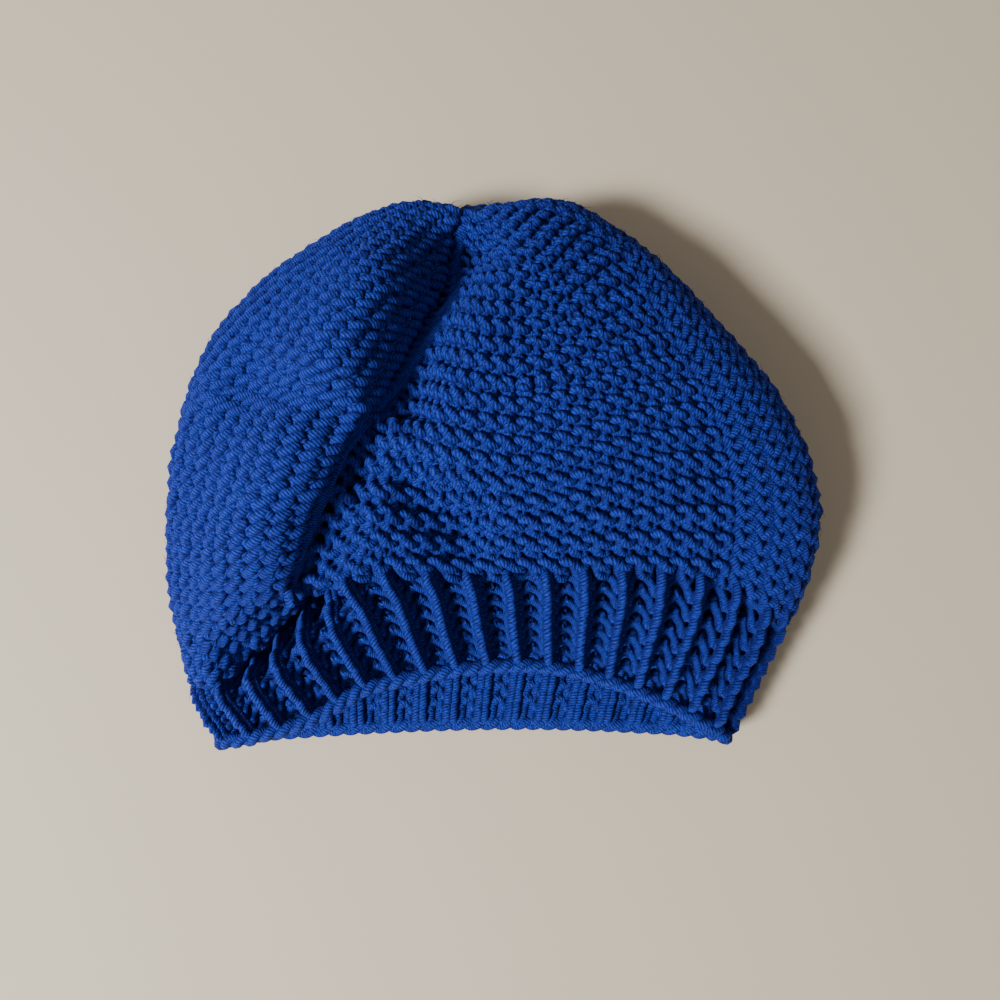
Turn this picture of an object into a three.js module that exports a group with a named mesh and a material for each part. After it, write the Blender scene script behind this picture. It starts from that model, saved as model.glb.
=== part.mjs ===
// A hand-knitted chunky beanie, lying on its back as it was put down: a ribbed brim and a puffed crown.
// Millimetres, +Z up. +X runs across the hat, +Y from the mouth of the brim to the top of the crown.
// The floor is z = 0, and the origin is on it, below the middle of the hat.

import * as THREE from "three";

// Driving sizes
const WALL = 5;                // thickness of the knitted cloth
const RIBS = 36;               // raised knit columns round the brim
const RIB_RELIEF = 1.4;        // how far a rib stands out from the cloth, and the groove beside it sinks
const RIB_ROWS = 8;            // knitted rows in the brim
const LAST_ROW = 50;           // the row that is drawn together at the top of the crown
const KNOT_ROWS = 3;           // rows at the top that are drawn up so tight that they have no hollow
const RIB_ROW_HEIGHT = 4.2;
const JOIN_GAP = 0.8;          // kept between the brim and the crown
const EDGE_ROUNDING = 0.4;     // rows by which the rounded cast-on edge stands past row 0

// The shape of a section: 2 is an ellipse, more is fuller.
const ROUNDNESS = 2.4;
// Where the widest point of a section lies, as a share of its height.
const SIDE_SHARE = 0.42;
// How the line of a row runs from the middle of the hat to its sides: 1 is straight, 2 is an arch.
const ARCH = 1.8;
// How high above the sides the folds of the upper layer have their full depth, as a sine of the angle.
const FOLD_FADE = 0.35;
// How sharply one fold gives way to the next where they meet.
const FOLD_BLEND = 10;

// Sections of the outer face, from the cast-on edge to the top of the crown. Each is one knitted row.
// left, right: how far it reaches to each side. mid: where its arch has its middle.
// yLeft, yFront, yRight, yBack: how far along the hat it lies at its sides, on top and underneath.
// top: its height. under: how low it would hang if the floor did not flatten it.
const SECTIONS = table("row left right mid yLeft yFront yRight yBack top under", [
  [0, -107, 90, 8, -104, -73, -102, -98, 36, -6],
  [4, -114, 97, 4, -88, -57, -86, -79, 41, -8],
  [8, -119, 105, 0, -72, -41, -70, -60, 46, -10],
  [12, -123, 116, -4, -52, -27, -50, -41, 52, -12],
  [16, -124.5, 123, -8, -31, -14, -27, -22, 57, -12],
  [24, -121, 114, -12, 15, 12, 17, 17, 63, -12],
  [32, -105, 85, -14, 56, 39, 58, 56, 62, -9],
  [40, -71, 53, -14, 89, 66, 92, 93, 56, -1],
  [46, -37, 25, -12, 104, 86, 105, 108, 48, 18],
  [50, -13, -2, -7, 101, 98, 101, 104, 42, 34],
]);

// Folds of the upper layer, each along a straight stretch from (x1, y1) to (x2, y2).
// lift: how far it raises the cloth, or sinks it below zero. reach: how wide it is.
// leanX, leanY: how far the bottom of a sunk fold is pushed aside, in under the bulge beside it.
const FOLDS = table("name x1 y1 x2 y2 lift reach leanX leanY", [
  ["crown valley", -13, 80, -20, 64, -21, 12, 2, 0],
  ["upper valley", -20, 64, -34, 20, -21, 11, 0, 0],
  ["side valley", -34, 20, -48, -10, -15, 8, -5, 0],
  ["low valley", -48, -10, -68, -52, -9, 7, -5, 0],
  ["tuck over the rib", -66, -52, -97, -73, -10, 8, 2, 5],
  ["branch", -42, 2, -14, -26, -9, 11, 0, 0],
  ["dent on the left", -50, 11, -88, 26, -6, 12, 0, 0],
  ["bulge on the left", -84, -30, -46, 62, 8, 20, 0, 0],
  ["bulge over the rib", -98, -44, -80, -30, 5, 18, 0, 0],
]);

// Facets
const CROWN_STEPS_ROUND = 88;
const CROWN_ROW_STEP = 1.75;   // rows from one ring of facets to the next
const FOLD_CARE = 2;           // how much finer the facets are where a fold is deep
const DEEP_FOLD = 15;          // the push, in mm, that counts as deep
const RINGS_EVENED = 4;        // rings before and after one over which its steps are evened out
const RIB_STEPS_ROUND = RIBS * 4;
const RIB_STEPS_UP = 4;
const UNDERNEATH = 0.75;       // the turn where rings begin, in the middle of the underside
const LENGTH_STEPS = 720;      // steps in which the way round a row is measured
const SLOPE_STEP = 0.002;      // step, in turns, by which the tilt of the cloth is found
const ROW_STEP = 0.05;         // and in rows

// Rows of values under named columns.
function table(columns, rows) {
  const names = columns.split(" ");
  return rows.map((values) => Object.fromEntries(names.map((name, i) => [name, values[i]])));
}

// A column of the section table at any row, on a smooth curve through its values.
function slopeAt(column, i) {
  const rise = (a, b) => (SECTIONS[b][column] - SECTIONS[a][column]) / (SECTIONS[b].row - SECTIONS[a].row);
  if (i === 0) return rise(0, 1);
  if (i === SECTIONS.length - 1) return rise(i - 1, i);
  const before = SECTIONS[i].row - SECTIONS[i - 1].row;
  const after = SECTIONS[i + 1].row - SECTIONS[i].row;
  return (rise(i - 1, i) * after + rise(i, i + 1) * before) / (before + after);
}

function sectionValue(column, row) {
  let i = SECTIONS.findIndex((section) => section.row > row) - 1;
  if (i === -2) i = SECTIONS.length - 2;
  if (i < 0) i = 0;
  const span = SECTIONS[i + 1].row - SECTIONS[i].row;
  const t = (row - SECTIONS[i].row) / span;
  const start = (2 * t ** 3 - 3 * t ** 2 + 1) * SECTIONS[i][column];
  const end = (3 * t ** 2 - 2 * t ** 3) * SECTIONS[i + 1][column];
  const leave = (t ** 3 - 2 * t ** 2 + t) * span * slopeAt(column, i);
  const arrive = (t ** 3 - t ** 2) * span * slopeAt(column, i + 1);
  return start + end + leave + arrive;
}

function smooth(t) {
  const s = Math.min(Math.max(t, 0), 1);
  return s * s * (3 - 2 * s);
}

// The folds' push on a point of the upper layer. Sunk folds run into one another, and bulges add up.
function foldPush(x, y, share) {
  let total = 0;
  const push = new THREE.Vector3();
  for (const fold of FOLDS) {
    const dx = fold.x2 - fold.x1;
    const dy = fold.y2 - fold.y1;
    const along = ((x - fold.x1) * dx + (y - fold.y1) * dy) / (dx * dx + dy * dy);
    const t = Math.min(Math.max(along, 0), 1);
    const away = Math.hypot(x - fold.x1 - t * dx, y - fold.y1 - t * dy);
    const weight = share * Math.exp(-((away / fold.reach) ** 2));
    if (fold.lift > 0) {
      push.z += fold.lift * weight;
    } else {
      const strength = (-fold.lift * weight) ** FOLD_BLEND;
      total += strength;
      push.x += strength * fold.leanX * weight;
      push.y += strength * fold.leanY * weight;
    }
  }
  if (total > 0) {
    push.x /= total;
    push.y /= total;
    push.z -= total ** (1 / FOLD_BLEND);
  }
  return push;
}

// A point of the outer face before it folded, and how far the folds push it there.
// turn 0 is the right side, 1/4 the top, 1/2 the left side, 3/4 underneath.
function unfoldedPoint(turn, row) {
  const value = (column) => sectionValue(column, row);
  const cosine = Math.cos(2 * Math.PI * turn);
  const sine = Math.sin(2 * Math.PI * turn);
  const across = Math.sign(cosine) * Math.abs(cosine) ** (2 / ROUNDNESS);
  const upward = Math.sign(sine) * Math.abs(sine) ** (2 / ROUNDNESS);
  const left = value("left");
  const right = value("right");
  const mid = value("mid");
  const under = value("under");
  const lowest = Math.max(under, 0);
  const sideHeight = lowest + SIDE_SHARE * (value("top") - lowest);
  const x = (left + right) / 2 + across * (right - left) / 2;
  const z = sideHeight + upward * (sine > 0 ? value("top") - sideHeight : sideHeight - under);
  const outward = (x < mid ? (x - mid) / (left - mid) : (x - mid) / (right - mid)) ** ARCH;
  const yMid = sine > 0 ? value("yFront") : value("yBack");
  const ySide = x < mid ? value("yLeft") : value("yRight");
  const y = yMid + outward * (ySide - yMid);
  return { point: new THREE.Vector3(x, y, z), push: foldPush(x, y, smooth(sine / FOLD_FADE)) };
}

function onFloor(point) {
  point.z = Math.max(point.z, 0);
  return point;
}

function outerPoint(turn, row) {
  const { point, push } = unfoldedPoint(turn, row);
  return onFloor(point.add(push));
}

function outwardNormal(turn, row) {
  const round = outerPoint(turn + SLOPE_STEP, row).sub(outerPoint(turn - SLOPE_STEP, row));
  const up = outerPoint(turn, row + ROW_STEP).sub(outerPoint(turn, row - ROW_STEP));
  return up.cross(round).normalize();
}

// Turns at which a row is cut into steps, starting underneath: equal lengths, or finer where it folds.
function stepTurns(row, steps, care) {
  const start = UNDERNEATH;
  const lengths = [0];
  let last = outerPoint(start, row);
  for (let k = 1; k <= LENGTH_STEPS; k += 1) {
    const { point, push } = unfoldedPoint(start + k / LENGTH_STEPS, row);
    const weight = 1 + care * Math.min(push.length() / DEEP_FOLD, 1);
    const next = onFloor(point.add(push));
    lengths.push(lengths[k - 1] + weight * next.distanceTo(last));
    last = next;
  }
  const turns = [];
  let k = 0;
  for (let step = 0; step < steps; step += 1) {
    const wanted = (step / steps) * lengths[LENGTH_STEPS];
    while (lengths[k + 1] < wanted) k += 1;
    const part = (wanted - lengths[k]) / (lengths[k + 1] - lengths[k]);
    turns.push(start + (k + part) / LENGTH_STEPS);
  }
  return turns;
}

// One ring of the brim, sunk into the cloth by depth. Its ribs are as far apart all the way round.
function ribbedRing(row, depth) {
  return stepTurns(row, RIB_STEPS_ROUND, 0).map((turn, step) => {
    const relief = RIB_RELIEF * Math.cos((2 * Math.PI * RIBS * step) / RIB_STEPS_ROUND);
    return onFloor(outerPoint(turn, row).addScaledVector(outwardNormal(turn, row), relief - depth));
  });
}

// Rings of the crown, sunk into the cloth by depth. Steps drift slowly from ring to ring.
function plainRings(rows, depth) {
  const wanted = rows.map((row) => stepTurns(row, CROWN_STEPS_ROUND, FOLD_CARE));
  return rows.map((row, k) => {
    const near = wanted.slice(Math.max(k - RINGS_EVENED, 0), k + RINGS_EVENED + 1);
    return wanted[k].map((_, step) => {
      const turn = near.reduce((sum, turns) => sum + turns[step], 0) / near.length;
      return outerPoint(turn, row).addScaledVector(outwardNormal(turn, row), -depth);
    });
  });
}

// A closed body through rings of equal steps: joined end to end, or with its first and last ring capped.
function bodyThroughRings(rings, joined) {
  const steps = rings[0].length;
  const points = rings.flat();
  const triangles = [];
  const strips = joined ? rings.length : rings.length - 1;
  for (let k = 0; k < strips; k += 1) {
    const low = k * steps;
    const high = ((k + 1) % rings.length) * steps;
    for (let j = 0; j < steps; j += 1) {
      const next = (j + 1) % steps;
      triangles.push(low + j, high + j, high + next, low + j, high + next, low + next);
    }
  }
  if (!joined) {
    const centreOf = (list) => list.reduce((sum, p) => sum.add(p), new THREE.Vector3()).divideScalar(steps);
    const first = points.push(centreOf(rings[0])) - 1;
    const last = points.push(centreOf(rings[rings.length - 1])) - 1;
    const lastRing = (rings.length - 1) * steps;
    for (let j = 0; j < steps; j += 1) {
      const next = (j + 1) % steps;
      triangles.push(first, j, next, lastRing + j, last, lastRing + next);
    }
  }
  const geometry = new THREE.BufferGeometry().setFromPoints(points);
  geometry.setIndex(triangles);
  geometry.computeVertexNormals();
  return geometry;
}

function rowsBetween(from, to, steps) {
  return Array.from({ length: steps + 1 }, (_, k) => from + ((to - from) * k) / steps);
}

// The brim: one-by-one rib, raised and sunk columns in turn, with a rounded cast-on edge at the mouth.
function brimGeometry() {
  const rows = rowsBetween(0, RIB_ROWS - JOIN_GAP / 2 / RIB_ROW_HEIGHT, RIB_STEPS_UP);
  const outer = rows.map((row) => ribbedRing(row, 0));
  const inner = rows.map((row) => ribbedRing(row, WALL)).reverse();
  const edge = ribbedRing(-EDGE_ROUNDING, WALL / 2);
  return bodyThroughRings([...inner, edge, ...outer], true);
}

// The crown: knitted on from the rib, puffed out, folded where it slumped, and drawn together at the top.
function crownGeometry() {
  const start = RIB_ROWS + JOIN_GAP / 2 / RIB_ROW_HEIGHT;
  const hollowEnd = LAST_ROW - KNOT_ROWS;
  const outerRows = rowsBetween(start, LAST_ROW, Math.round((LAST_ROW - start) / CROWN_ROW_STEP));
  const innerRows = rowsBetween(start, hollowEnd, Math.round((hollowEnd - start) / CROWN_ROW_STEP));
  const outer = plainRings(outerRows, 0);
  const inner = plainRings(innerRows, WALL).reverse();
  return bodyThroughRings([...inner, ...outer], false);
}

function knitted(name, geometry, colour) {
  const material = new THREE.MeshStandardMaterial({ color: colour, roughness: 0.95, metalness: 0 });
  const mesh = new THREE.Mesh(geometry, material);
  mesh.name = name;
  return mesh;
}

const beanie = new THREE.Group();
beanie.add(knitted("ribbed_brim", brimGeometry(), "#12398f"));
beanie.add(knitted("crown", crownGeometry(), "#1746ab"));

// The hat is set down with the middle of its outline on the origin.
const middle = new THREE.Box3().setFromObject(beanie).getCenter(new THREE.Vector3());
beanie.position.set(-middle.x, -middle.y, 0);

export default beanie;
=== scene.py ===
# A hand-knitted chunky beanie in royal blue yarn, lying on the floor with its front up.

import math

import bpy
import numpy as np
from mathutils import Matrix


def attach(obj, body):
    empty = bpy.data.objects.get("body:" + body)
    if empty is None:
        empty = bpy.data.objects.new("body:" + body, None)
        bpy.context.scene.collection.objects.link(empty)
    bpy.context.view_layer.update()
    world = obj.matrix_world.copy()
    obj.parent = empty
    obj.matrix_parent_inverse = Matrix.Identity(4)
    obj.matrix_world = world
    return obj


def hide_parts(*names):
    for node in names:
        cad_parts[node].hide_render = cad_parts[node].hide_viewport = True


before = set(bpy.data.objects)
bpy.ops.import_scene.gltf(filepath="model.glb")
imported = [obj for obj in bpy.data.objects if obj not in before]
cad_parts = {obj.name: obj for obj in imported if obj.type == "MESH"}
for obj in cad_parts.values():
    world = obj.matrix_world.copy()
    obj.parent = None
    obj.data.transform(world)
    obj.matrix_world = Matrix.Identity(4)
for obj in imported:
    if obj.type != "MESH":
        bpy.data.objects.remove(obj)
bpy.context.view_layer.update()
bpy.ops.object.select_all(action="DESELECT")


# Cast-on edge
# The first loops on the needle, which end up as the hat's lower edge: two strands of the same wool-type yarn
# that twist round each other once in every two stitches. The rib is knitted straight on from it.

# The cloth's outer face is a stack of sections, one for each knitted row from the edge to the top, in mm.
# left, right: how far a row reaches. mid: where its arch has its middle. y_...: how far along the hat it lies
# at its sides, on top and underneath. top, under: its height, and how low it would hang without the floor.
# panel_left, panel_right: the edges of the front panel in that row.
COLUMNS = "row left right mid y_left y_front y_right y_back top under panel_left panel_right".split()
SECTIONS = np.array([
    [0, -107, 90, 8, -104, -73, -102, -98, 36, -6, -50, 70],
    [4, -114, 97, 4, -88, -57, -86, -79, 41, -8, -59, 76],
    [8, -119, 105, 0, -72, -41, -70, -60, 46, -10, -66, 82],
    [12, -123, 116, -4, -52, -27, -50, -41, 52, -12, -62, 84],
    [16, -124.5, 123, -8, -31, -14, -27, -22, 57, -12, -56, 85],
    [24, -121, 114, -12, 15, 12, 17, 17, 63, -12, -42, 77],
    [32, -105, 85, -14, 56, 39, 58, 56, 62, -9, -28, 60],
    [40, -71, 53, -14, 89, 66, 92, 93, 56, -1, -17, 42],
    [46, -37, 25, -12, 104, 86, 105, 108, 48, 18, -15, 17],
    [50, -13, -2, -7, 101, 98, 101, 104, 42, 34, -9, -5],
])
# Folds along straight stretches: x1, y1, x2, y2, lift (below zero it sinks), reach, lean_x, lean_y.
FOLDS = [
    (-13, 80, -20, 64, -21, 12, 2, 0),      # the valley, from the crown down to the rib
    (-20, 64, -34, 20, -21, 11, 0, 0),
    (-34, 20, -48, -10, -15, 8, -5, 0),
    (-48, -10, -68, -52, -9, 7, -5, 0),
    (-66, -52, -97, -73, -10, 8, 2, 5),     # the tuck over the rib
    (-42, 2, -14, -26, -9, 11, 0, 0),       # the branch
    (-50, 11, -88, 26, -6, 12, 0, 0),       # the dent on the left
    (-84, -30, -46, 62, 8, 20, 0, 0),       # the bulge on the left
    (-98, -44, -80, -30, 5, 18, 0, 0),      # the bulge over the rib
]
WALL = 5.0                  # mm, how thick the cloth is
ROUNDNESS = 2.4             # of a section: 2 would be an ellipse, and more is squarer
SIDE_SHARE = 0.42           # of a section's height, where its sides are widest
ARCH = 1.8                  # how late a row bends away from its middle: 1 would be straight
FOLD_FADE = 0.35            # how far above the sides the folds reach their full depth, as a sine
FOLD_BLEND = 10             # how much the deepest of the folds that sink counts over the others
NO_FOLD = 1e-12             # stands for no depth at all where it is divided by
HAT_SHIFT = np.array([0.566, -1.508, 0.0])      # from the tables' origin to the middle of the hat, in mm
RIB_END = 8                 # the row of the sections where the rib ends
LAST_ROW = 50


def section_value(column, row):
    """A column of the sections at any row, on a smooth curve through its values."""
    rows = SECTIONS[:, 0]
    values = SECTIONS[:, COLUMNS.index(column)]
    slopes = np.gradient(values, rows)
    i = np.clip(np.searchsorted(rows, row, side="right") - 1, 0, len(rows) - 2)
    span = rows[i + 1] - rows[i]
    t = (row - rows[i]) / span
    start = (2 * t**3 - 3 * t**2 + 1) * values[i] + (t**3 - 2 * t**2 + t) * span * slopes[i]
    end = (3 * t**2 - 2 * t**3) * values[i + 1] + (t**3 - t**2) * span * slopes[i + 1]
    return start + end


def smooth(t):
    s = np.clip(t, 0, 1)
    return s * s * (3 - 2 * s)


def cloth_point(turn, row):
    """The outer face. turn 0 is the right side, 1/4 the top, 1/2 the left side and 3/4 underneath."""
    cosine = np.cos(2 * np.pi * turn)
    sine = np.sin(2 * np.pi * turn)
    left, right, mid, top, under = (section_value(c, row) for c in ("left", "right", "mid", "top", "under"))
    lowest = np.maximum(under, 0)
    side = lowest + SIDE_SHARE * (top - lowest)
    power = 2 / ROUNDNESS
    x = (left + right) / 2 + (right - left) / 2 * np.sign(cosine) * np.abs(cosine) ** power
    z = side + np.where(sine > 0, top - side, side - under) * np.sign(sine) * np.abs(sine) ** power
    outward = np.where(x < mid, (x - mid) / (left - mid), (x - mid) / (right - mid)) ** ARCH
    y_side = np.where(x < mid, section_value("y_left", row), section_value("y_right", row))
    y_mid = np.where(sine > 0, section_value("y_front", row), section_value("y_back", row))
    y = y_mid + outward * (y_side - y_mid)
    share = smooth(sine / FOLD_FADE)
    total = np.full(x.shape, NO_FOLD)
    rise, push_x, push_y = np.zeros((3,) + x.shape)
    for x1, y1, x2, y2, lift, reach, lean_x, lean_y in FOLDS:
        dx, dy = x2 - x1, y2 - y1
        t = np.clip(((x - x1) * dx + (y - y1) * dy) / (dx * dx + dy * dy), 0, 1)
        away = np.hypot(x - x1 - t * dx, y - y1 - t * dy)
        weight = share * np.exp(-((away / reach) ** 2))
        if lift > 0:
            rise = rise + lift * weight
        else:
            strength = (-lift * weight) ** FOLD_BLEND
            total = total + strength
            push_x = push_x + strength * lean_x * weight
            push_y = push_y + strength * lean_y * weight
    z = np.maximum(z + rise - total ** (1 / FOLD_BLEND), 0)
    return np.stack([x + push_x / total, y + push_y / total, z], -1)


def unit(vectors):
    return vectors / np.linalg.norm(vectors, axis=-1, keepdims=True)


def cloth_normal(turn, row):
    turn_step, row_step = 0.002, 0.05
    around = cloth_point(turn + turn_step, row) - cloth_point(turn - turn_step, row)
    along = cloth_point(turn, row + row_step) - cloth_point(turn, row - row_step)
    return unit(np.cross(along, around))


def panel_edge(row, side):
    """The turn of the front panel's left or right edge in a row."""
    left, right = section_value("left", row), section_value("right", row)
    across = (section_value("panel_" + side, row) - (left + right) / 2) / ((right - left) / 2)
    return np.arccos(np.sign(across) * np.abs(across) ** (ROUNDNESS / 2)) / (2 * np.pi)


# A round of stitches runs from the left edge of the front panel over the top to its right edge, and on
# round the right side, the back and the left side. The turn is found from the length of cloth passed.
FIRST_MEASURED = -3
MEASURE_STEP = 0.25                 # rows from one measured round to the next
MEASURED_ROWS = np.arange(FIRST_MEASURED, LAST_ROW + MEASURE_STEP / 2, MEASURE_STEP)
SHARES = np.linspace(0, 1, 129)     # of the front panel, and of the rest, at which turns are kept
ROUND_STEPS = 1200                 # steps in which the way round is measured
LAST_CELL = 1.001                   # taken off a table's length, so that a place stays inside its last cell


def measure_rounds():
    """The turns at all the shares of each measured row, in the front panel and in the rest."""
    ways = np.linspace(0, 1, ROUND_STEPS + 1)
    front, back = [], []
    for row in MEASURED_ROWS:
        start, end = panel_edge(row, "left"), panel_edge(row, "right")
        points = cloth_point(start - ways, np.full(ways.shape, row))
        steps = np.linalg.norm(np.diff(points, axis=0), axis=1)
        lengths = np.concatenate([[0], np.cumsum(steps)])
        turn_over = np.interp(start - end, ways, lengths)
        front.append(start - np.interp(SHARES * turn_over, lengths, ways))
        rest = turn_over + SHARES * (lengths[-1] - turn_over)
        back.append(start - np.interp(rest, lengths, ways))
    return np.array(front), np.array(back)


FRONT_TURNS, BACK_TURNS = measure_rounds()


def between(table, row, share):
    """The turn at any row and share, from the four nearest in a table."""
    down = np.clip((row - FIRST_MEASURED) / MEASURE_STEP, 0, len(MEASURED_ROWS) - LAST_CELL)
    across = np.clip(share, 0, 1) * (len(SHARES) - LAST_CELL)
    i, j = down.astype(int), across.astype(int)
    s, t = down - i, across - j
    upper = table[i, j] * (1 - t) + table[i, j + 1] * t
    lower = table[i + 1, j] * (1 - t) + table[i + 1, j + 1] * t
    return upper * (1 - s) + lower * s


def turn_at(place, row, front, back):
    """place counts stitches from the left edge of the front panel: front of them lie in it, and back in the
    rest of the round."""
    place = np.mod(place, front + back)
    in_front = between(FRONT_TURNS, row, place / front)
    behind = between(BACK_TURNS, row, (place - front) / back)
    return np.where(place < front, in_front, behind)


def on_cloth(place, row, height, front, back, radius, rise=0.0):
    """Points at a height over the middle of the cloth, raised straight up by rise, and the way out of the
    cloth there. A strand of that radius through them stays above the floor."""
    row = np.clip(row, FIRST_MEASURED, LAST_ROW)
    turn = turn_at(place, row, front, back)
    outward = cloth_normal(turn, row)
    points = cloth_point(turn, row) + (height - WALL / 2)[..., None] * outward
    points[..., 2] = np.maximum(points[..., 2] + rise, radius)
    return points, outward


YARN_SIDES = 8              # faces round a strand
STRIP_MARGIN = 0.1          # share of a strand's strip on the bake map that is left free on each side
BAKE_MARGIN = 0.01          # share of that map that is left free at each end of the strips


def yarn_piece(name, strands, material, sides=YARN_SIDES):
    """One mesh of round strands with closed ends. Each is (points, ways out of the cloth, radius), in mm.
    The map "yarn" holds the mm along a strand and the turn round it, and OFBake lays the strands side by
    side."""
    corners, loops, starts, yarn_map, bake_map = [], [], [], [], []
    first, used = 0, 0
    longest = max(len(points) for points, _, _ in strands)
    angles = 2 * np.pi * np.arange(sides) / sides
    for number, (points, outward, radius) in enumerate(strands):
        count = len(points)
        along = unit(np.gradient(points, axis=0))
        across = unit(np.cross(along, outward))
        up = np.cross(across, along)
        ring = np.cos(angles)[None, :, None] * up[:, None] + np.sin(angles)[None, :, None] * across[:, None]
        corners.append((points[:, None] + np.asarray(radius).reshape(-1, 1, 1) * ring).reshape(-1, 3))
        steps = np.linalg.norm(np.diff(points, axis=0), axis=1)
        length = np.concatenate([[0], np.cumsum(steps)])
        i, j = np.meshgrid(np.arange(count - 1), np.arange(sides), indexing="ij")
        i_corner = np.stack([i, i, i + 1, i + 1], -1).reshape(-1)
        j_corner = np.stack([j, j + 1, j + 1, j], -1).reshape(-1)
        loops.append(first + i_corner * sides + j_corner % sides)
        yarn_map.append(np.stack([length[i_corner], j_corner / sides], -1))
        strip = (number + STRIP_MARGIN + (1 - 2 * STRIP_MARGIN) * j_corner / sides) / len(strands)
        bake_map.append(np.stack([BAKE_MARGIN + (1 - 2 * BAKE_MARGIN) * i_corner / longest, strip], -1))
        quads = (count - 1) * sides
        starts.append(used + 4 * np.arange(quads))
        used += 4 * quads
        for end, order in ((0, -1), (count - 1, 1)):
            loops.append(first + end * sides + np.arange(sides)[::order])
            yarn_map.append(np.tile([length[end], 0.0], (sides, 1)))
            strip_end = BAKE_MARGIN + (1 - 2 * BAKE_MARGIN) * end / longest
            bake_map.append(np.tile([strip_end, (number + 0.5) / len(strands)], (sides, 1)))
            starts.append(np.array([used]))
            used += sides
        first += count * sides
    mesh = bpy.data.meshes.new(name)
    co = (np.concatenate(corners) + HAT_SHIFT) / 1000
    mesh.vertices.add(len(co))
    mesh.vertices.foreach_set("co", co.ravel())
    mesh.loops.add(used)
    mesh.loops.foreach_set("vertex_index", np.concatenate(loops).astype(np.int32))
    starts = np.concatenate(starts).astype(np.int32)
    mesh.polygons.add(len(starts))
    mesh.polygons.foreach_set("loop_start", starts)
    mesh.polygons.foreach_set("use_smooth", np.ones(len(starts), bool))
    mesh.update(calc_edges=True)
    mesh.validate()
    for map_name, values in (("yarn", yarn_map), ("OFBake", bake_map)):
        layer = mesh.uv_layers.new(name=map_name)
        layer.data.foreach_set("uv", np.concatenate(values).astype(np.float32).ravel())
    mesh.materials.append(material)
    piece = bpy.data.objects.new(name, mesh)
    bpy.context.collection.objects.link(piece)
    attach(piece, "root")
    return piece


def linear(hex_colour):
    """An sRGB hex colour as linear red, green, blue and full alpha."""
    parts = [int(hex_colour[k:k + 2], 16) / 255 for k in (1, 3, 5)]
    return [p / 12.92 if p <= 0.04045 else ((p + 0.055) / 1.055) ** 2.4 for p in parts] + [1.0]


def add_node(tree, kind, links=None, **settings):
    """Adds a node. settings are its own values; links name an input and give a value or another's output."""
    node = tree.nodes.new(kind)
    for name, value in settings.items():
        setattr(node, name, value)
    for name, value in (links or {}).items():
        if isinstance(value, bpy.types.NodeSocket):
            tree.links.new(value, node.inputs[name])
        else:
            node.inputs[name].default_value = value
    return node


# Plied wool-type yarn: soft plies wind steeply round the strand, so that it shows fine stripes across it,
# with painted light on the plies and painted shade in the grooves between them. Loose fibres on it scatter
# light, which gives a matt face and a pale rim. The colour is full on the crests that face out of the cloth
# and into the hat, and painted shade darkens the flanks between them, where strands press together.
PLY_SPACING = 0.95          # mm along the strand from one ply to the next
PLIES = -4                  # plies passed in one turn round the strand, below zero as they wind to the left
PLY_WANDER = 0.9            # how far the fuzz shifts a ply, in plies
TUFTS = (1.8, 4.0, 0.0)     # tufts of fuzz to a mm along the strand, and to a turn round it
FUZZ_SHARE = 5.0            # how much the fuzz counts beside the wave of the plies
GROOVE_LEVEL, FULL_LEVEL = 1.3, 4.3         # what the two come to together in a groove, and on a full ply
# the yarn's blue with painted light on the plies, the painted shade in their grooves, and the sheen's tint
YARN_LIT, YARN_GROOVE_SHADE, YARN_SHEEN = "#2a46cc", "#07124a", "#4f6ff0"
# painted shade: the colour is full on the crests and multiplied by a dark blue on the flanks between them
CRESTS = 2                  # of full colour in a turn round the strand
PAINTED_FLANK_SHADE = "#7878ae"     # what the colour is multiplied by on the flanks, where only blue light gets in
FUZZ_RELIEF = 0.6           # how high the fuzz stands beside a ply
PLY_RELIEF = 0.0005         # m that a ply stands out
RELIEF_STRENGTH = 0.6
ROUGHNESS_RANGE = (0.78, 0.95)


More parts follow.
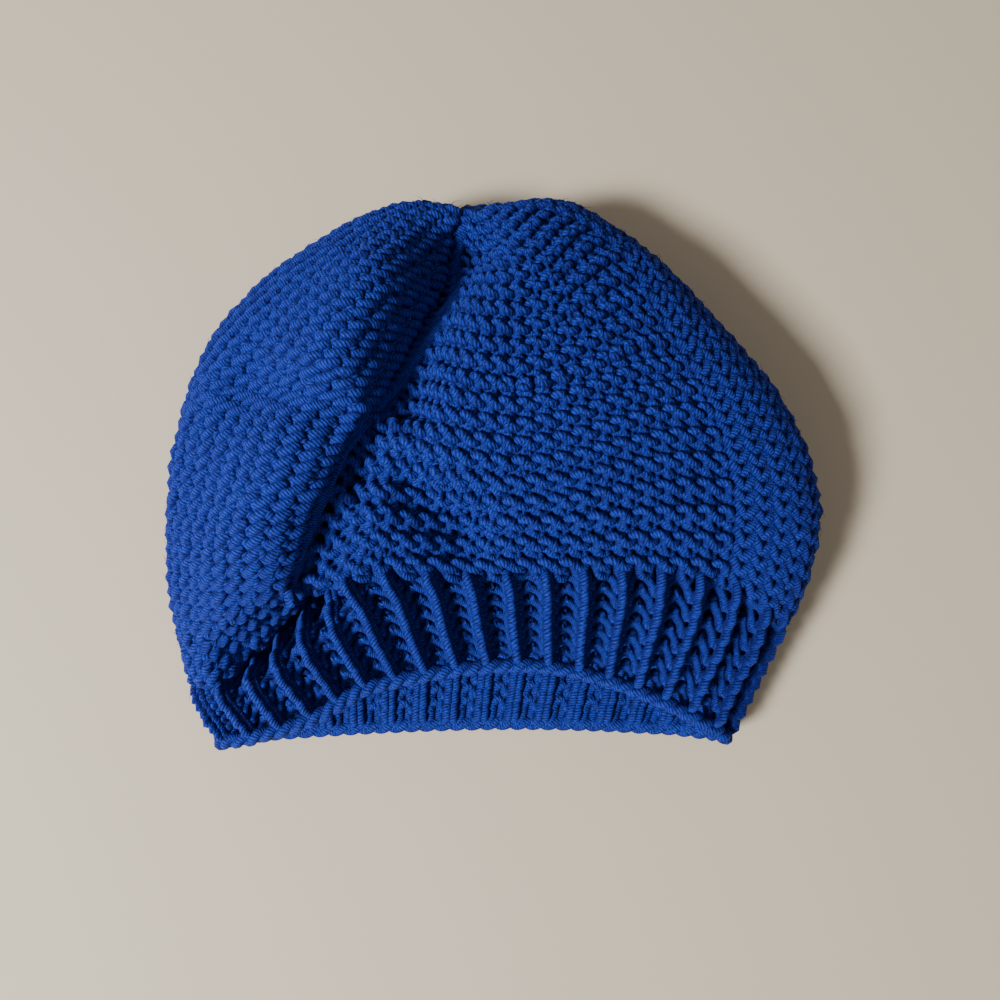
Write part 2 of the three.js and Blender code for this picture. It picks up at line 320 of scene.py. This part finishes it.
def plied_yarn():
    material = bpy.data.materials.new("plied royal blue wool-type yarn")
    material.use_nodes = True
    tree = material.node_tree
    shader = tree.nodes["Principled BSDF"]
    strand = add_node(tree, "ShaderNodeUVMap", uv_map="yarn").outputs["UV"]
    tufts = add_node(tree, "ShaderNodeVectorMath", {0: strand, 1: TUFTS}, operation="MULTIPLY")
    fuzz = add_node(tree, "ShaderNodeTexNoise", {"Vector": tufts.outputs[0], "Scale": 1.0, "Detail": 4.0})
    windings = add_node(
        tree, "ShaderNodeVectorMath", {0: strand, 1: (1 / PLY_SPACING, PLIES, 0.0)}, operation="DOT_PRODUCT"
    )
    wobble = add_node(
        tree, "ShaderNodeMath", {0: fuzz.outputs["Fac"], 1: PLY_WANDER, 2: windings.outputs["Value"]},
        operation="MULTIPLY_ADD",
    )
    phase = add_node(tree, "ShaderNodeMath", {0: wobble.outputs[0], 1: 2 * math.pi}, operation="MULTIPLY")
    wave = add_node(tree, "ShaderNodeMath", {0: phase.outputs[0]}, operation="SINE")
    uneven = add_node(
        tree, "ShaderNodeMath", {0: fuzz.outputs["Fac"], 1: FUZZ_SHARE, 2: wave.outputs[0]},
        operation="MULTIPLY_ADD",
    )
    ply = add_node(
        tree, "ShaderNodeMapRange",
        {"Value": uneven.outputs[0], "From Min": GROOVE_LEVEL, "From Max": FULL_LEVEL},
    )
    # painted light and shade along the plies: the lit colour on the plies, the groove colour in the grooves
    plies = add_node(
        tree, "ShaderNodeMix", {0: ply.outputs[0], 6: linear(YARN_GROOVE_SHADE), 7: linear(YARN_LIT)},
        data_type="RGBA",
    )
    # painted shade on each strand's flanks, between its crests, multiplied into the colour
    turn = add_node(
        tree, "ShaderNodeVectorMath", {0: strand, 1: (0.0, 2 * math.pi * CRESTS, 0.0)},
        operation="DOT_PRODUCT",
    )
    crests = add_node(tree, "ShaderNodeMath", {0: turn.outputs["Value"]}, operation="COSINE")
    crest = add_node(tree, "ShaderNodeMapRange", {"Value": crests.outputs[0], "From Min": -1.0})
    shade = add_node(
        tree, "ShaderNodeMix", {0: crest.outputs[0], 6: linear(PAINTED_FLANK_SHADE), 7: linear("#ffffff")},
        data_type="RGBA",
    )
    colour = add_node(
        tree, "ShaderNodeMix", {0: 1.0, 6: plies.outputs[2], 7: shade.outputs[2]}, data_type="RGBA",
        blend_type="MULTIPLY",
    )
    height = add_node(
        tree, "ShaderNodeMath", {0: fuzz.outputs["Fac"], 1: FUZZ_RELIEF, 2: ply.outputs[0]},
        operation="MULTIPLY_ADD",
    )
    bump = add_node(
        tree, "ShaderNodeBump",
        {"Height": height.outputs[0], "Strength": RELIEF_STRENGTH, "Distance": PLY_RELIEF},
    )
    rough = add_node(
        tree, "ShaderNodeMapRange",
        {"Value": fuzz.outputs["Fac"], "To Min": ROUGHNESS_RANGE[0], "To Max": ROUGHNESS_RANGE[1]},
    )
    tree.links.new(colour.outputs[2], shader.inputs["Base Color"])
    tree.links.new(bump.outputs[0], shader.inputs["Normal"])
    tree.links.new(rough.outputs[0], shader.inputs["Roughness"])
    shader.inputs["Specular IOR Level"].default_value = 0.2
    shader.inputs["Sheen Weight"].default_value = 0.25
    shader.inputs["Sheen Roughness"].default_value = 0.45
    shader.inputs["Sheen Tint"].default_value = linear(YARN_SHEEN)
    return material


def ring_place(place, front, back):
    """Where a stitch is on the ring: 0 to 1 across the front panel, and 1 to 2 round the rest."""
    return np.where(place < front, place / front, 1 + (place - front) / back)


# The row that the edge lies at, at places on the ring. On the left of the front it hangs down to the floor.
EDGE_ROWS = np.array([
    [0.00, 0.0],
    [1.80, 0.0],
    [1.84, -0.7],
    [1.90, -1.2],
    [1.94, -1.1],
    [2.00, 0.0],
])


def edge_row(ring):
    return np.interp(ring, EDGE_ROWS[:, 0], EDGE_ROWS[:, 1])


yarn = plied_yarn()
RIB_FRONT, RIB_BACK = 22, 50        # stitches of the rib in front, and in the rest of the round
EDGE_STRAND_RADIUS = 1.9            # mm
EDGE_TWIST = 1.2                    # how far each strand winds round the middle of the edge, in mm
EDGE_TWIST_ROWS = 0.28              # the same along the cloth, in rows
EDGE_BELOW = 0.4                    # rows from the rib's start to the middle of the edge
EDGE_LIFT = 1.0                     # mm that the edge stands out
EDGE_STEPS = 10                     # steps of a strand to each stitch


def edge_strand(side):
    """One of the two strands, as its points, ways out and radii. side 1 is half a turn from side 0."""
    place = np.linspace(0, RIB_FRONT + RIB_BACK, (RIB_FRONT + RIB_BACK) * EDGE_STEPS + 1)
    angle = side * np.pi - np.pi * place
    row = edge_row(ring_place(place, RIB_FRONT, RIB_BACK)) - EDGE_BELOW + EDGE_TWIST_ROWS * np.cos(angle)
    height = EDGE_LIFT + EDGE_TWIST * np.sin(angle)
    points, outward = on_cloth(place, row, height, RIB_FRONT, RIB_BACK, EDGE_STRAND_RADIUS)
    return points, outward, np.full(len(place), EDGE_STRAND_RADIUS)


cast_on_edge = yarn_piece("cast_on_edge", [edge_strand(0), edge_strand(1)], yarn)
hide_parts("ribbed_brim")


# Ribbed brim
# A one-by-one rib in the same yarn: a raised column of knit stitches, then a sunk one of purl stitches, all
# the way round. It is knitted on the cast-on edge, and draws in, so that the hat grips the head.

LOOP_STEPS = 12             # points of the yarn to each stitch


def knitted_round(row, rows_high, front, back, stitches, lie_of):
    """The yarn of one round, as its points, ways out and radii.
    stitches holds, for each stitch of the round, how its loop is made:
    foot, leg, head: how far in front these lie, from -1 to 1, and depth, what that comes to in mm.
    pinch: how far the legs draw in at the foot, skew: how far the head leans left, and spread: how much of
    their room the columns beside it give up, all in stitches. lift: how far the column stands out.
    tilt: how much higher the right leg is, and roll: the right shoulders. tall: half the loop's height, in
    rounds. radius: of the yarn. lie_of tells which row of the cloth a height in rounds comes to, at a place
    on the ring, and how far the whole cloth is raised there."""
    count = front + back
    t = np.linspace(-np.pi, np.pi, LOOP_STEPS + 1)[:-1]
    near = 0.5 * smooth((np.abs(t) - np.pi / 2) / (np.pi / 2))
    beside = np.where(t > 0, 1, -1)
    column = np.arange(count)[:, None]
    neighbour = (column + beside[None]) % count

    def shared(name):
        values = stitches[name]
        return values[column] * (1 - near) + values[neighbour] * near

    upward = np.cos(t)
    leg, head, foot = shared("leg"), shared("head"), shared("foot")
    front_back = leg + (head - foot) / 2 * upward + ((head + foot) / 2 - leg) * upward**2
    place = column + 0.5 + t / (2 * np.pi) + shared("pinch") * np.sin(2 * t)
    place = place - shared("skew") * upward - shared("spread") * np.cos(np.pi * place)
    place = np.mod(place, count).ravel()
    ring = ring_place(place, front, back)
    level, rise = lie_of((row + rows_high * (0.5 + shared("tall") * upward)).ravel(), ring)
    shoulders = np.sign(t) * np.abs(np.sin(2 * t))
    height = shared("lift") + shared("depth") * front_back
    height = height + shared("tilt") * np.sin(t) + shared("roll") * shoulders
    radius = shared("radius").ravel()
    points, outward = on_cloth(place, level, height.ravel(), front, back, radius, rise)
    return points, outward, radius


def stretch_of(yarn_round, start, end):
    """The yarn of the stitches from start to end, with the first point of the next one, where it goes on."""
    index = np.arange(start * LOOP_STEPS, end * LOOP_STEPS + 1) % len(yarn_round[0])
    return tuple(values[index] for values in yarn_round)


rng = np.random.default_rng(7)
UNEVEN_LIFT = 0.2           # mm
UNEVEN_TILT = 0.12          # mm
UNEVEN_SHARE = 0.03         # of a loop's height, and of the yarn's radius


def stitch_table(count, **values):
    """The values of each stitch of a round, with the unevenness of hand knitting."""
    table = {name: np.zeros(count) + value for name, value in values.items()}
    table["lift"] += rng.normal(0, UNEVEN_LIFT, count)
    table["tilt"] += rng.normal(0, UNEVEN_TILT, count)
    table["tall"] *= 1 + rng.normal(0, UNEVEN_SHARE, count)
    table["radius"] *= 1 + rng.normal(0, UNEVEN_SHARE, count)
    return table


# The row where the rib ends, at places on the ring. On the left the crown slouches down over it.
RIB_TOPS = np.array([
    [0.00, 8.3],
    [0.15, 9.0],
    [0.43, 7.5],
    [0.60, 8.0],
    [0.80, 9.8],
    [1.00, 11.0],
    [1.10, 9.4],
    [1.45, 8.0],
    [1.72, 6.0],
    [1.80, 5.0],
    [1.85, 4.8],
    [1.90, 5.4],
    [1.95, 6.9],
    [2.00, 8.3],
])
# How much of the tuck there is at places on the ring. The rib sinks into it, and the crown rolls over it.
TUCK_SHARES = np.array([
    [0.00, 0.6],
    [0.06, 0.0],
    [1.83, 0.0],
    [1.89, 1.0],
    [1.97, 1.0],
    [2.00, 0.6],
])
TUCK_SINK = 15.0            # mm that the rib's last rows sink
TUCK_ROWS = 2.2             # the rows of the rib over which it sinks
TUCK_UNDER = 2.5            # rows that it goes on under the crown


def rib_top(ring):
    return np.interp(ring, RIB_TOPS[:, 0], RIB_TOPS[:, 1])


def tuck_share(ring):
    return np.interp(ring, TUCK_SHARES[:, 0], TUCK_SHARES[:, 1])


def rib_lie(level, ring):
    """How the rib lies, for knitted_round: spread from the edge to the rib's end, and sunk into the tuck."""
    share = level / RIB_END
    row = (rib_top(ring) + TUCK_UNDER * tuck_share(ring)) * share + edge_row(ring) * (1 - share)
    sunk = smooth((row - rib_top(ring)) / TUCK_ROWS + 1)
    return row, -TUCK_SINK * tuck_share(ring) * sunk


RIB_ROUNDS = 7
# How the rib's columns are made. In front it draws in, so that each knit column closes to one cord and the
# purl columns sink between them. Behind, it is pressed flat on the floor.
RIB_VALUES = "depth lift tilt spread pinch radius tall".split()
RIB_COLUMNS = np.array([
    [1.2, 0.9, -1.2, -0.24, 0.10, 1.8, 0.85],       # knit, in front
    [0.5, -3.0, 0.0, -0.24, -0.10, 1.85, 0.5],      # purl, in front
    [0.9, 0.8, 0.0, 0.05, 0.10, 1.9, 0.85],         # knit, behind
    [0.9, -0.8, 0.0, 0.05, 0.10, 1.9, 0.85],        # purl, behind
])
RIB_BEHIND = (1.13, 1.74)               # where on the ring the rib is pressed flat
rib_count = RIB_FRONT + RIB_BACK
rib_purls = np.arange(rib_count) % 2
rib_side = 1.0 - 2 * rib_purls
rib_ring = ring_place(np.arange(rib_count) + 0.5, RIB_FRONT, RIB_BACK)
rib_behind = (rib_ring > RIB_BEHIND[0]) & (rib_ring < RIB_BEHIND[1])
rib_make = dict(zip(RIB_VALUES, RIB_COLUMNS[rib_purls + 2 * rib_behind].T))
rib_strands = []
rows_high = RIB_END / RIB_ROUNDS
for number in range(RIB_ROUNDS):
    stitches = stitch_table(
        rib_count, foot=-rib_side, leg=rib_side, head=-rib_side, skew=0.0, roll=0.0, **rib_make
    )
    rib_round = knitted_round(number * rows_high, rows_high, RIB_FRONT, RIB_BACK, stitches, rib_lie)
    rib_strands.append(stretch_of(rib_round, 0, rib_count))
rib_knit = yarn_piece("rib_knit", rib_strands, yarn)
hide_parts("ribbed_brim")


# Crown
# Knitted on from the rib in rounds, in the same yarn: one panel of garter stitch in front, whose ridges show
# one knit and one purl round each, and plain stockinette with its V-shaped stitches all round the rest.
# Towards the top, stitches are taken together, so that the rounds get shorter.

# Stitches of a round from some row on: in the front panel, and in the rest.
STITCH_COUNTS = np.array([
    [0, 20, 54],
    [27, 17, 50],
    [32, 15, 45],
    [36, 13, 38],
    [40, 11, 32],
    [43, 8, 24],
    [46, 6, 17],
    [48, 4, 9],
])
# How many rows the rounds lie above the sections at places on the ring. They sag in the middle of the front.
ROUND_BENDS = np.array([
    [0.00, 3.2],
    [0.12, 3.0],
    [0.22, 1.8],
    [0.33, 0.7],
    [0.46, 0.0],
    [0.59, 0.7],
    [0.70, 1.9],
    [0.85, 3.1],
    [1.00, 3.2],
    [1.11, 2.5],
    [1.45, 0.0],
    [1.79, 3.7],
    [2.00, -1.2],
])
BEND_ROWS = 12              # rows over which the rounds pass from the rib's end to their own bend
BEND_FADE = 12              # rows before the top over which the bend goes back to none


def round_bend(level, ring):
    bend = np.interp(ring, ROUND_BENDS[:, 0], ROUND_BENDS[:, 1])
    return bend * np.clip((LAST_ROW - level) / BEND_FADE, 0, 1)


TUCK_SWELL = 3.5            # mm that the crown is raised where it comes over the tuck
SWELL_ROWS = 1.6            # rows from the tuck to the top of that


def crown_swell(row, ring):
    away = (row - rib_top(ring)) / SWELL_ROWS - 1
    return TUCK_SWELL * tuck_share(ring) * np.exp(-away**2)


def front_lie(level, ring):
    """How the front and the right side of the crown lie, for knitted_round."""
    share = smooth((level - RIB_END) / BEND_ROWS)
    row = level + (rib_top(ring) - RIB_END) * (1 - share) + round_bend(level, ring) * share
    return row, crown_swell(row, ring)


# On the left the crown rolls under over the rib, and its lowest rounds are hidden there.
ROLL_RADIUS = 6.0           # mm
ROLL_ROWS = 1.1             # the same in rows
HIDDEN_ROWS = 2.4           # rows that are knitted beyond the edge of the roll
SHOWN_ABOVE = 0.3           # rows from the rib's end to the first stitches, where there is no roll


def slouch_lie(level, ring):
    """How the back and the left side of the crown lie, for knitted_round."""
    row = level + round_bend(level, ring)
    share = tuck_share(ring)
    start = rib_top(ring) + ROLL_ROWS
    angle = np.clip((start - row) / ROLL_ROWS, 0, np.pi)
    rolled = np.where(row < start, start - ROLL_ROWS * np.sin(angle), row)
    rise = crown_swell(row, ring) - share * ROLL_RADIUS * (1 - np.cos(angle))
    return row + share * (rolled - row), rise


def slouch_shows(level, ring):
    first_row = rib_top(ring) + SHOWN_ABOVE - HIDDEN_ROWS * tuck_share(ring)
    return level + round_bend(level, ring) > first_row


# The right stretch of stockinette ends, and the left one starts, at these shares of the stitches outside
# the front panel. The back lies between them.
RIGHT_SHARE, LEFT_SHARE = 0.29, 0.72
# How the stitches of each panel are made.
CROWN_VALUES = "leg depth pinch skew tilt roll tall radius".split()
CROWN_PANELS = np.array([
    [-0.6, 1.6, 0.12, 0.11, 0.3, 1.0, 0.88, 1.65],      # garter stitch, in front
    [1.0, 1.3, 0.38, -0.10, 0.0, 0.0, 0.75, 1.95],      # stockinette, on the right
    [1.0, 1.3, 0.38, -0.10, 0.5, 0.0, 0.72, 2.10],      # stockinette, at the back and on the left
])
STOCKINETTE_FOOT, STOCKINETTE_HEAD = -1.0, -0.5     # how far in front these lie, from -1 to 1
THIN_ROWS, THIN_SHARES = [26, 44], [1.0, 0.82]      # rows between which the yarn thins, and to what share
FULL_EXTRA = 0.3           # mm by which the front panel's yarn is fuller beside the valley
FULL_STITCHES = 3           # stitches over which that fades
FULL_ROWS = 22              # the row that it ends at
LAST_STITCH_SINK = 2.0      # mm that the last stitch sinks into the valley


def crown_stitches(row, garter):
    """The stitch counts of the round at a row, and how its stitches are made. garter is 1 in a knit round,
    -1 in a purl round, and turns the front panel's stitches into ridges."""
    front, rest = STITCH_COUNTS[np.searchsorted(STITCH_COUNTS[:, 0], row, side="right") - 1, 1:]
    number = np.arange(front + rest)
    in_front = number < front
    on_right = (number >= front) & (number < front + rest * RIGHT_SHARE)
    panel = np.select([in_front, on_right], [0, 1], 2)
    make = dict(zip(CROWN_VALUES, CROWN_PANELS[panel].T))
    full = FULL_EXTRA * np.exp(-number / FULL_STITCHES) * (in_front & (row < FULL_ROWS))
    make["radius"] = np.interp(row, THIN_ROWS, THIN_SHARES) * (make["radius"] + full)
    stitches = stitch_table(
        front + rest,
        foot=np.where(in_front, -garter, STOCKINETTE_FOOT),
        head=np.where(in_front, garter, STOCKINETTE_HEAD),
        lift=np.where(number == front + rest - 1, -LAST_STITCH_SINK, 0.0),
        spread=0.0,
        **make,
    )
    return front, rest, stitches


TUCKED_IN = 7.0             # mm that a round goes in at its end, where the rest of it is hidden


def tuck_ends(strand, at_start, at_end):
    """Leads a strand into the hat over its first stitch, its last one or both."""
    points, outward, radius = strand
    from_start = np.arange(len(points)) / LOOP_STEPS
    inward = at_start * smooth(1 - from_start) + at_end * smooth(1 - from_start[::-1])
    return points - TUCKED_IN * inward[:, None] * outward, outward, radius


FRONT_ROUNDS = range(RIB_END, LAST_ROW)
SLOUCHED_ROUNDS = range(2, LAST_ROW - 1)        # at the back and on the left, where some lie over the rib
garter_strands, right_strands, back_strands, left_strands = [], [], [], []
for row in FRONT_ROUNDS:
    front, rest, stitches = crown_stitches(row, 1.0 if row % 2 == 0 else -1.0)
    crown_round = knitted_round(row, 1.0, front, rest, stitches, front_lie)
    garter_strands.append(stretch_of(crown_round, 0, front))
    right_strands.append(stretch_of(crown_round, front, front + round(rest * RIGHT_SHARE)))
for row in SLOUCHED_ROUNDS:
    front, rest, stitches = crown_stitches(row, 1.0)
    slouch_round = knitted_round(row, 1.0, front, rest, stitches, slouch_lie)
    shows = slouch_shows(row + 0.5, ring_place(np.arange(front + rest) + 0.5, front, rest))
    for strands, start, end in (
        (back_strands, front + round(rest * RIGHT_SHARE), front + round(rest * LEFT_SHARE)),
        (left_strands, front + round(rest * LEFT_SHARE), front + rest),
    ):
        shown = start + np.flatnonzero(shows[start:end])
        for run in np.split(shown, np.flatnonzero(np.diff(shown) > 1) + 1):
            if len(run):
                strand = stretch_of(slouch_round, run[0], run[-1] + 1)
                strands.append(tuck_ends(strand, run[0] > start, run[-1] + 1 < end))
for name, strands in (
    ("garter_front", garter_strands),
    ("stockinette_right", right_strands),
    ("stockinette_back", back_strands),
    ("stockinette_left", left_strands),
):
    panel = yarn_piece(name, strands, yarn)
    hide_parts("crown")


# Gathered top
# The tail of the yarn, drawn through the last stitches and pulled tight, so that they close in a small
# pucker. It winds round twice and ends inside.

GATHER_TURNS = 2.2
GATHER_POINTS = 60
GATHER_ROW = 49.6
GATHER_FRONT, GATHER_BACK = 3, 7        # stitches passed in one turn, in front and in the rest
GATHER_CLOSED = 0.8                     # how far its end is pulled in to the middle
GATHER_RADIUS = 1.6                     # mm
gather_steps = np.linspace(0, 1, GATHER_POINTS)
gather_place = gather_steps * GATHER_TURNS * (GATHER_FRONT + GATHER_BACK)
gather_rows = np.full(GATHER_POINTS, GATHER_ROW)
gather_heights = np.zeros(GATHER_POINTS)
gather_radii = np.full(GATHER_POINTS, GATHER_RADIUS)
rim, rim_outward = on_cloth(gather_place, gather_rows, gather_heights, GATHER_FRONT, GATHER_BACK, 0.0)
gather_middle = rim.mean(axis=0)
closing = (1 - GATHER_CLOSED * gather_steps)[:, None]
gathered = gather_middle + (rim - gather_middle) * closing
gathered_top = yarn_piece("gathered_top", [(gathered, rim_outward, gather_radii)], yarn)
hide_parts("crown")


# Loose fibres
# Ends of the wool-type fibre that have worked out of the yarn all over the hat. Each is spun in at its root
# and curls freely over the stitches, so that their edges look soft.

FIBRES = 7000
FIBRE_RADIUS = 0.11                     # mm, drawn thicker than a real fibre so that it shows
FIBRE_THICK_END = 1.2                   # the root's radius as a multiple of that, and the tip's is one less
FIBRE_SIDES = 3
FIBRE_LENGTH = (1.5, 4.0)               # mm
FIBRE_CURL = (0.5, 1.5)                 # how far it bends over, in radians
FIBRE_STRAY = 0.5                       # how far it strays from the way out of the cloth
FIBRE_ROOT = 0.8                        # where in the yarn it starts, as a share of the yarn's radius
FIBRE_POINTS = 5
LOWEST_FIBRE = -0.3                     # none grow where the cloth faces further down than this
knitted = rib_strands + garter_strands + right_strands + left_strands + back_strands
fibre_points = np.concatenate([points for points, _, _ in knitted])
fibre_outward = np.concatenate([outward for _, outward, _ in knitted])
fibre_radius = np.concatenate([radius for _, _, radius in knitted])
fibre_places = np.flatnonzero(fibre_outward[:, 2] > LOWEST_FIBRE)
fibre_roots = rng.choice(fibre_places, FIBRES, replace=False)
root_outward = fibre_outward[fibre_roots]
root_way = unit(root_outward + FIBRE_STRAY * rng.normal(size=(FIBRES, 3)))
root_lie = unit(np.cross(root_outward, rng.normal(size=(FIBRES, 3))))
fibre_starts = fibre_points[fibre_roots] + FIBRE_ROOT * fibre_radius[fibre_roots][:, None] * root_way
fibre_lengths = rng.uniform(*FIBRE_LENGTH, FIBRES)
fibre_curls = rng.uniform(*FIBRE_CURL, FIBRES)
fibre_share = np.linspace(0, 1, FIBRE_POINTS)[:, None]
fibre_thickness = FIBRE_RADIUS * (FIBRE_THICK_END - fibre_share[:, 0])
loose_strands = []
for start, way, lie, length, curl, outward in zip(
    fibre_starts, root_way, root_lie, fibre_lengths, fibre_curls, root_outward
):
    bend = curl * fibre_share
    points = start + length * (way * np.sin(bend) / 2 + lie * (1 - np.cos(bend)) + lie * fibre_share / 3)
    loose_strands.append((points, np.tile(outward, (FIBRE_POINTS, 1)), fibre_thickness))
loose_fibres = yarn_piece("loose_fibres", loose_strands, yarn, sides=FIBRE_SIDES)


# Floor
# A plain pale matt floor for the hat to lie on, which belongs to the stage and not to the part. It is wide
# enough that the camera sees no edge of it from above.

FLOOR_WIDTH = 6             # m
bpy.ops.mesh.primitive_plane_add(size=FLOOR_WIDTH)
floor = bpy.context.object
floor.name = "floor"
floor_material = bpy.data.materials.new("pale studio floor")
floor_material.use_nodes = True
floor_shader = floor_material.node_tree.nodes["Principled BSDF"]
floor_shader.inputs["Base Color"].default_value = linear("#d8cbb4")
floor_shader.inputs["Roughness"].default_value = 0.9
floor.data.materials.append(floor_material)


# Light
# A soft lamp on the left and a little in front, halfway up the sky, and a pale room all round that fills
# the shadows.

LAMP_PLACE = (-0.90, -0.52, 1.02)       # m
LAMP_POWER = 33                         # W
LAMP_WIDTH = 0.3                        # m
ROOM_STRENGTH = 0.26
bpy.ops.object.light_add(type="AREA", location=LAMP_PLACE)
lamp = bpy.context.object
lamp.name = "soft_lamp"
lamp.data.energy = LAMP_POWER
lamp.data.size = LAMP_WIDTH
lamp.rotation_euler = (-lamp.location).to_track_quat("-Z", "Y").to_euler()
world = bpy.data.worlds.new("pale room")
bpy.context.scene.world = world
world.use_nodes = True
room = world.node_tree.nodes["Background"]
room.inputs["Color"].default_value = linear("#f6efe6")
room.inputs["Strength"].default_value = ROOM_STRENGTH


# Camera
# A phone with its usual wide lens, held about 30 cm over the floor. It is nearer to the brim than to the top
# of the crown, and tipped a little towards that top.

CAMERA_PLACE = np.array([1.5, -47.0, 313.0])        # mm, from the tables' origin
CAMERA_TIP = math.radians(6.84)
CAMERA_LENS, CAMERA_SENSOR = 27, 36                 # mm
CAMERA_NEAR = 0.01                                  # m, the nearest that it sees
bpy.ops.object.camera_add(location=(CAMERA_PLACE + HAT_SHIFT) / 1000, rotation=(CAMERA_TIP, 0, 0))
camera = bpy.context.object
camera.data.lens = CAMERA_LENS
camera.data.sensor_width = CAMERA_SENSOR
camera.data.clip_start = CAMERA_NEAR
bpy.context.scene.camera = camera
